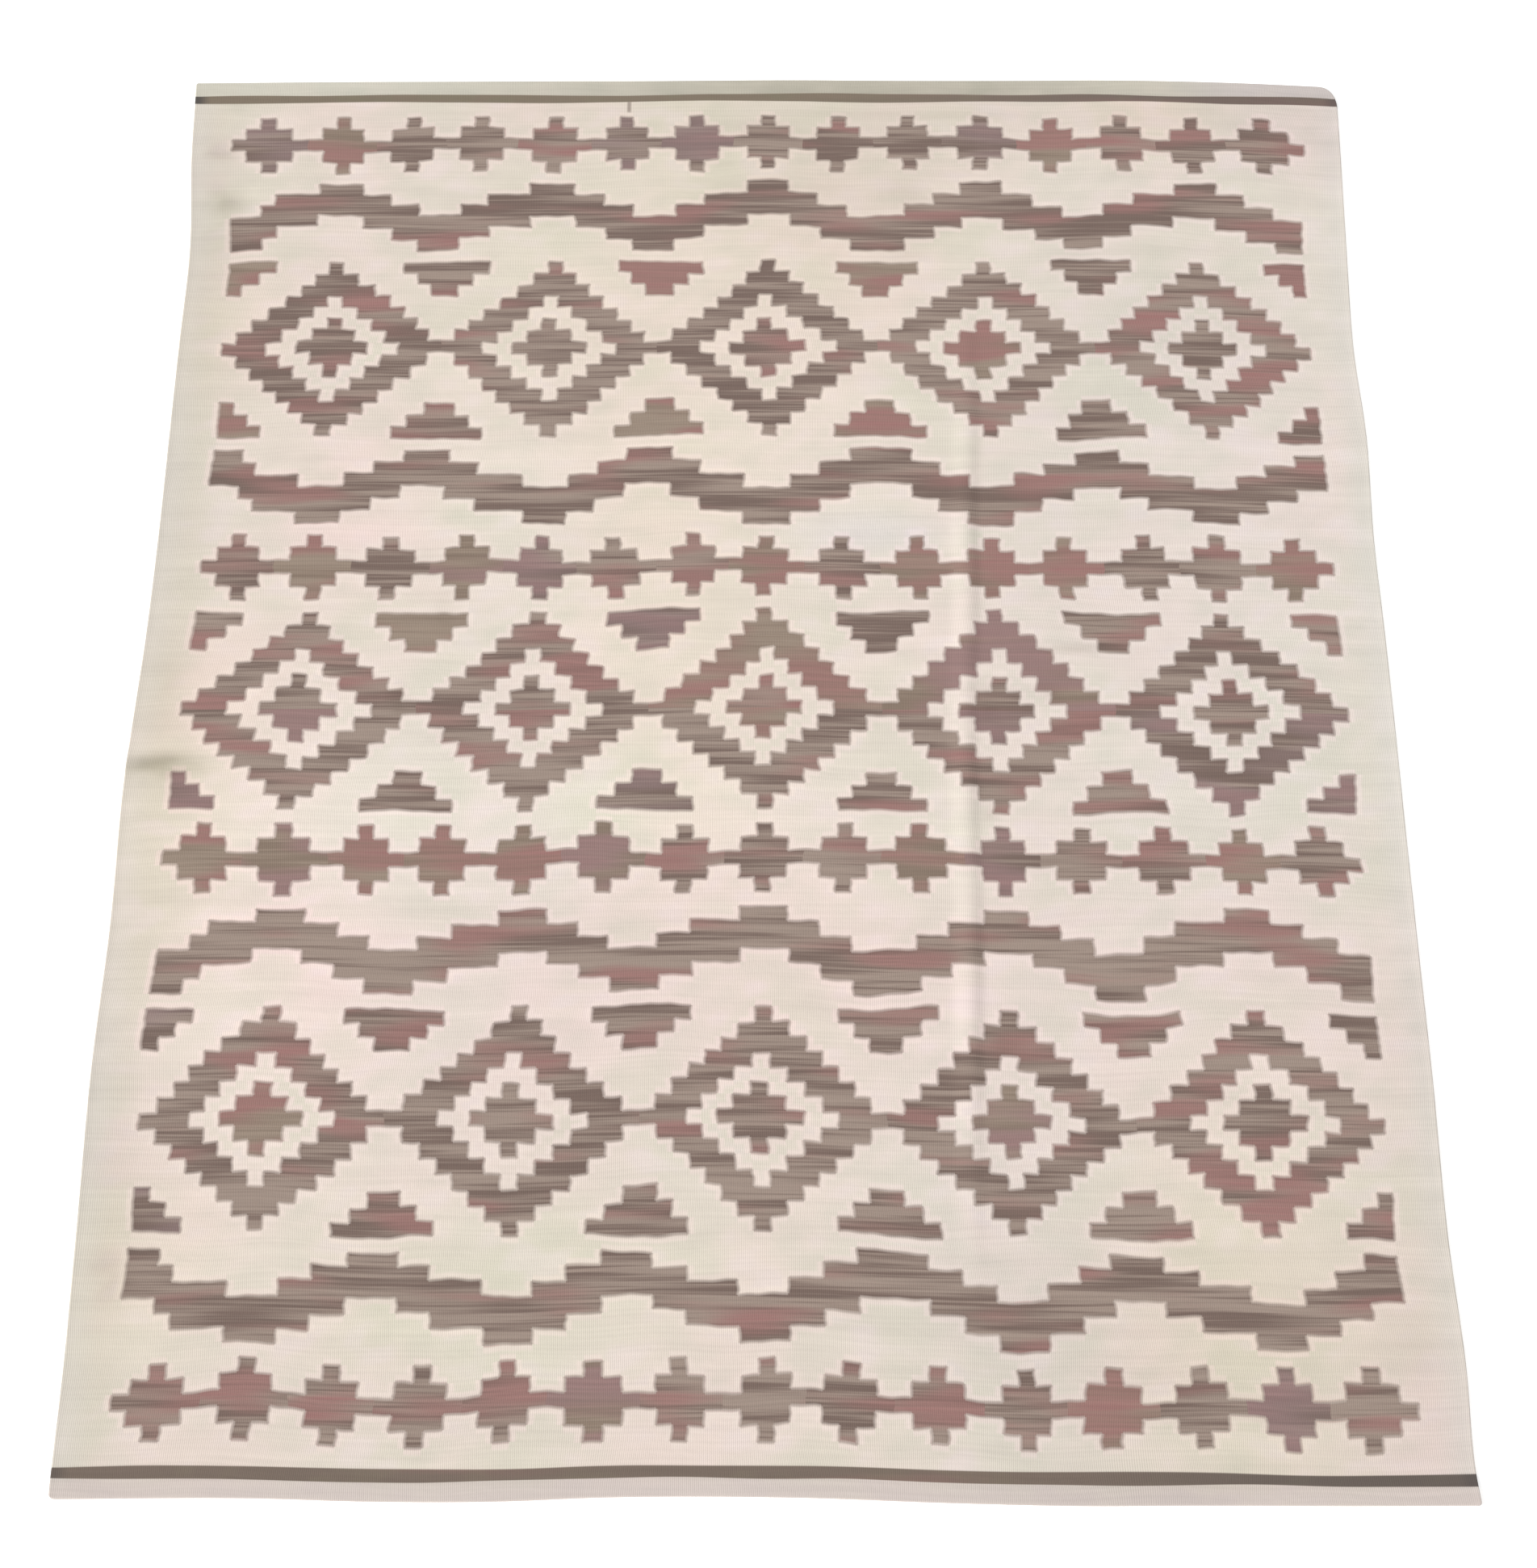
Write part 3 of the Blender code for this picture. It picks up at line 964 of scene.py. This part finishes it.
@dataclass
class RugCloth:
    """The woven cloth, one closed sheet that lies on the floor."""

    width: float = 2.44
    length: float = 3.05
    field_thickness: float = 0.004
    selvedge_thickness: float = 0.0046
    selvedge_width: float = 0.012
    hem_thickness: float = 0.0065
    rim_rounding: float = 0.0017
    rim_segments: int = 3
    rim_angle: float = 50.0
    crease_left_flank: float = 0.044
    crease_right_flank: float = 0.032
    crease_sharpness: float = 1.3
    crease_reach: float = 0.150
    line_pitch: float = 0.0162
    crease_pitch: float = 0.006
    fold_pitch: float = 0.007
    line_gap: float = 0.0022
    edge_insets: tuple[float, ...] = (0.0, 0.003, 0.006, 0.012, 0.017, 0.023, 0.030, 0.038)
    hem_insets: tuple[float, ...] = (
        0.0, 0.003, 0.006, 0.014, 0.022, 0.027, 0.031, 0.034, 0.038, 0.042, 0.046, 0.055
    )
    smudge_and_shade_reach: float = 1.5
    cast_reach: float = 2.0
    cast_middle: float = 216.0
    cast_power: float = 2.3
    ripple_height: float = 0.00035
    ripple_margin: float = 0.05
    sway: float = 0.0095

    def with_round_corners(self, x: np.ndarray, y: np.ndarray) -> tuple[np.ndarray, np.ndarray]:
        """Draws in the points near the corners of the flat cloth, so that its corners are round."""
        for corner in CORNERS.values():
            from_side, from_end = self.width / 2 - x * corner.side, self.length / 2 - y * corner.end
            pull_x, pull_y = rounding(corner, from_side, from_end)
            x, y = x - corner.side * pull_x, y - corner.end * pull_y
        return x, y

    def outline(self, x: np.ndarray, y: np.ndarray) -> tuple[np.ndarray, np.ndarray]:
        """Moves points of a plain rectangle so that its edges follow the rug's wavy ones.

        Args:
            x: places across the flat cloth.
            y: places along it.

        Returns:
            The places across and along the floor.
        """
        side, end = self.width / 2, self.length / 2
        across, along = (x + side) / self.width, (y + end) / self.length
        left = through(SIDES, "along", "left_in", y)
        right = through(SIDES, "along", "right_in", y)
        near = through(ENDS, "across", "near_in", x)
        far = through(ENDS, "across", "far_in", x)
        return x + left * (1 - across) - right * across, y + near * (1 - along) - far * along

    def lift(self, x: np.ndarray, y: np.ndarray) -> np.ndarray:
        """How high the cloth's underside stands off the floor: 0 but for the creases."""
        crest = through(LONG_CREASE, "along", "across", y)
        height = np.maximum(through(LONG_CREASE, "along", "lift", y), 0)
        flank = np.where(x < crest, self.crease_left_flank, self.crease_right_flank)
        raised = height * hump((x - crest) / flank) ** self.crease_sharpness
        for fold in SHORT_FOLDS.values():
            left, right = fold.left * MM, fold.right * MM
            part = np.clip((x - left) / (right - left), 0, 1)
            line = (fold.left_along + (fold.right_along - fold.left_along) * part) * MM
            flank = np.where(y > line, fold.far_flank, fold.near_flank) * MM
            raised = raised + fold.lift * MM * hump(2 * part - 1) * hump((y - line) / flank)
        return raised

    def thickness(self, x: np.ndarray, y: np.ndarray) -> np.ndarray:
        """The cloth's thickness: full at the hems, a little fuller at the selvedges, uneven elsewhere."""
        from_side, from_end = self.width / 2 - np.abs(x), self.length / 2 - np.abs(y)
        selvedge = hump(from_side / self.selvedge_width)
        field_thick = self.field_thickness + (self.selvedge_thickness - self.field_thickness) * selvedge
        hem = through(HEM_PROFILE, "inset", "thick", from_end)
        hem = hem - HEM_PROFILE[-1].thick * MM
        calm = np.clip(from_side / self.ripple_margin, 0, 1) * np.clip(from_end / self.ripple_margin, 0, 1)
        return field_thick + np.maximum(hem, 0) + swell("ripple", x, y) * self.ripple_height * calm

    def lines(self, half: float, insets: tuple[float, ...], extra: np.ndarray) -> np.ndarray:
        """The places of the mesh's lines in one direction.

        Args:
            half: half the cloth's size in that direction.
            insets: the lines' distances from each edge.
            extra: lines that the folds need.

        Returns:
            Those lines with an even spacing between them, in order.
        """
        fixed = sorted({sign * (half - inset) for inset in insets for sign in (-1, 1)} | set(extra))
        places = [fixed[0]]
        for place in fixed[1:]:
            gap = place - places[-1]
            if gap < self.line_gap:
                continue
            steps = max(1, round(gap / self.line_pitch))
            places += [places[-1] + gap * (step + 1) / steps for step in range(steps)]
        return np.array(places)

    def fold_lines(self, fold: Fold) -> np.ndarray:
        """The lines along the rug that a short fold needs."""
        middle = (fold.left_along + fold.right_along) / 2 * MM
        return np.arange(middle - fold.near_flank * MM, middle + fold.far_flank * MM, self.fold_pitch)

    def build(self) -> bpy.types.Object:
        """Makes the cloth.

        Returns:
            One closed mesh with a UV map in metres of flat cloth.
        """
        middle = float(np.mean(column(LONG_CREASE, "across")))
        crease = middle + np.arange(-self.crease_left_flank, self.crease_left_flank, self.crease_pitch)
        folds = np.concatenate([self.fold_lines(fold) for fold in SHORT_FOLDS.values()])
        across = self.lines(self.width / 2, self.edge_insets, crease)
        along = self.lines(self.length / 2, self.hem_insets, folds)
        cells_x, cells_y = len(across) - 1, len(along) - 1
        grid = bmesh.new()
        bmesh.ops.create_grid(grid, x_segments=cells_x, y_segments=cells_y, size=1)
        even = np.array([vertex.co for vertex in grid.verts])
        flat_x = across[np.rint((even[:, 0] + 1) / 2 * cells_x).astype(int)]
        flat_y = along[np.rint((even[:, 1] + 1) / 2 * cells_y).astype(int)]
        crest = through(LONG_CREASE, "along", "across", flat_y)
        reach = np.array([self.crease_left_flank, self.crease_reach])
        flat_x = flat_x + (crest - middle) * np.interp(np.abs(flat_x - middle), reach, [1, 0])
        flat_x, flat_y = self.with_round_corners(flat_x, flat_y)
        shaped_x, shaped_y = self.outline(flat_x, flat_y)
        raised = self.lift(flat_x, flat_y)
        weave = grid.loops.layers.uv.new("cloth")
        for vertex, x, y, z, u, v in zip(grid.verts, shaped_x, shaped_y, raised, flat_x, flat_y):
            vertex.co = (x, y, z)
            for loop in vertex.link_loops:
                loop[weave].uv = (u, v)
        mesh = bpy.data.meshes.new("rug_cloth")
        grid.to_mesh(mesh)
        grid.free()
        cloth = bpy.data.objects.new("rug_cloth", mesh)
        bpy.context.scene.collection.objects.link(cloth)
        self.thicken(cloth, self.thickness(flat_x, flat_y))
        self.mark(cloth)
        return cloth

    def thicken(self, cloth: bpy.types.Object, thick: np.ndarray) -> None:
        """Gives the open sheet its thickness and a rounded rim, and applies both.

        Args:
            cloth: the underside, as an open mesh.
            thick: the thickness at each of its points.
        """
        share = cloth.vertex_groups.new(name="thickness")
        for index, value in enumerate(thick / self.hem_thickness):
            share.add([index], float(value), "REPLACE")
        solid = cloth.modifiers.new("thickness", "SOLIDIFY")
        solid.thickness = self.hem_thickness
        solid.offset = 1
        solid.vertex_group = share.name
        rim = cloth.modifiers.new("rounded rim", "BEVEL")
        rim.width = self.rim_rounding
        rim.segments = self.rim_segments
        rim.limit_method = "ANGLE"
        rim.angle_limit = math.radians(self.rim_angle)
        deselect_all()
        bpy.context.view_layer.objects.active = cloth
        cloth.select_set(True)
        for modifier in (solid, rim):
            bpy.ops.object.modifier_apply(modifier=modifier.name)
        cloth.vertex_groups.clear()
        bpy.ops.object.shade_smooth()

    def mark(self, cloth: bpy.types.Object) -> None:
        """Writes what the material reads: where the weave strays to, its uneven dyes, its soil and painted
        shade, and its casts and painted highlight.

        Args:
            cloth: the finished mesh with its UV map.
        """
        mesh = cloth.data
        corners = np.empty(len(mesh.loops) * 2)
        mesh.uv_layers["cloth"].data.foreach_get("uv", corners)
        corners = corners.reshape(-1, 2)
        u, v = corners.T
        astray = np.stack((swell("sway across", u, v), swell("sway along", u, v)), axis=1) * self.sway
        mesh.uv_layers.new(name="weave").data.foreach_set("uv", (corners + astray).ravel())

        owners = np.empty(len(mesh.loops), dtype=int)
        mesh.loops.foreach_get("vertex_index", owners)
        flat = np.zeros((len(mesh.vertices), 2))
        flat[owners] = corners
        u, v = flat.T
        tints = np.stack([swell(name, u, v) for name in ("dye", "greening", "mottle")])
        mesh.attributes.new("tints", "FLOAT_VECTOR", "POINT").data.foreach_set("vector", tints.T.ravel())
        # soil, and painted shade of the tuck, the long crease's right side and the wrinkle
        soil_and_shade = sum(row.depth * spot(row, u, v, self.smudge_and_shade_reach) for row in SMUDGES_AND_SHADES)
        mesh.attributes.new("marks", "FLOAT", "POINT").data.foreach_set("value", soil_and_shade)
        levels = sum(np.outer(spot(row, u, v, self.cast_reach), row.levels()) for row in CASTS_AND_HIGHLIGHTS)
        cast = (1 + levels / self.cast_middle) ** self.cast_power
        mesh.attributes.new("cast", "FLOAT_VECTOR", "POINT").data.foreach_set("vector", cast.ravel())

    def dress(self, cloth: bpy.types.Object, material: bpy.types.Material) -> None:
        """Gives the cloth its material and its place in the frame."""
        cloth.data.materials.clear()
        cloth.data.materials.append(material)
        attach(cloth, "root")
        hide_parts("rug")


@dataclass
class Studio:
    """The pale floor, the soft light and the camera at the photograph's angle."""

    floor_size: float = 40.0
    floor_drop: float = 0.0006
    floor_colour: RGB = (252, 252, 251)
    floor_glow: float = 0.40
    floor_roughness: float = 0.85
    floor_specular: float = 0.2
    sky_strength: float = 0.62
    backdrop_strength: float = 1.0
    sun_strength: float = 3.1
    sun_softness: float = 24.0
    sun_height: float = 30.0
    sun_bearing: float = 200.0
    sun_distance: float = 10.0
    camera_place: tuple[float, float, float] = (-0.0354, -2.7291, 5.1948)
    camera_pitch: float = 63.656
    camera_yaw: float = 0.914
    camera_roll: float = 1.037
    focal_pixels: float = 3785.4
    photo_height: float = 1942.0
    sensor: float = 36.0

    def floor(self) -> None:
        """The floor, a wide plane just under the cloth."""
        deselect_all()
        bpy.ops.mesh.primitive_plane_add(size=self.floor_size, location=(0, 0, -self.floor_drop))
        floor = bpy.context.object
        floor.name = "floor"
        bpy.ops.object.transform_apply(location=True, rotation=True, scale=True)
        floor.data.materials.append(Graph("pale_floor").surface({
            "Base Color": linear(self.floor_colour),
            "Roughness": self.floor_roughness,
            "Specular IOR Level": self.floor_specular,
            "Emission Color": WHITE,
            "Emission Strength": self.floor_glow,
        }))

    def sun(self) -> None:
        """A soft light from the left and a little from the near side, which brings out the creases."""
        data = bpy.data.lights.new("window_light", "SUN")
        data.energy, data.angle = self.sun_strength, math.radians(self.sun_softness)
        lamp = bpy.data.objects.new("window_light", data)
        height, bearing = math.radians(self.sun_height), math.radians(self.sun_bearing)
        level = math.cos(height)
        place = Vector((math.cos(bearing) * level, math.sin(bearing) * level, math.sin(height)))
        lamp.location = place * self.sun_distance
        lamp.rotation_euler = (-place).to_track_quat("-Z", "Y").to_euler()
        bpy.context.scene.collection.objects.link(lamp)

    def sky(self) -> None:
        """An even white light from all round, before a plain white backdrop."""
        world = bpy.data.worlds.new("soft_sky")
        bpy.context.scene.world = world
        world.use_nodes = True
        tree = world.node_tree
        back = tree.nodes["Background"]
        back.inputs["Color"].default_value = WHITE
        seen = tree.nodes.new("ShaderNodeLightPath")
        strength = tree.nodes.new("ShaderNodeMapRange")
        strength.inputs["To Min"].default_value = self.sky_strength
        strength.inputs["To Max"].default_value = self.backdrop_strength
        tree.links.new(seen.outputs["Is Camera Ray"], strength.inputs["Value"])
        tree.links.new(strength.outputs["Result"], back.inputs["Strength"])

    def camera(self) -> None:
        """The camera, at the height, distance and tilt that the rug's corners give in the photograph."""
        data = bpy.data.cameras.new("camera")
        data.sensor_width = self.sensor
        data.lens = self.focal_pixels / self.photo_height * self.sensor
        camera = bpy.data.objects.new("camera", data)
        pitch, yaw, roll = (math.radians(x) for x in (self.camera_pitch, self.camera_yaw, self.camera_roll))
        level = math.cos(pitch)
        forward = Vector((math.sin(yaw) * level, math.cos(yaw) * level, -math.sin(pitch)))
        right = forward.cross(Vector((0, 0, 1))).normalized()
        turned = Matrix.Rotation(-roll, 3, forward) @ right
        up = turned.cross(forward)
        facing = Matrix((turned, up, -forward)).transposed().to_4x4()
        camera.matrix_world = Matrix.Translation(self.camera_place) @ facing
        bpy.context.scene.collection.objects.link(camera)
        bpy.context.scene.camera = camera

    def build(self) -> None:
        """Makes the floor, the light and the camera."""
        self.camera()
        self.floor()
        self.sky()
        self.sun()
        bpy.context.scene.view_settings.view_transform = "Standard"


def main() -> None:
    """Builds the studio and the rug in order."""
    logging.basicConfig(level=logging.INFO, format="%(name)s: %(message)s")
    Studio().build()
    LOG.info("floor, light and camera stand")
    cloth = RugCloth()
    sheet = cloth.build()
    cloth.dress(sheet, WovenWool(cloth.width, cloth.length).material())
    LOG.info("%s: %d faces", sheet.name, len(sheet.data.polygons))


if __name__ == "__main__":
    main()
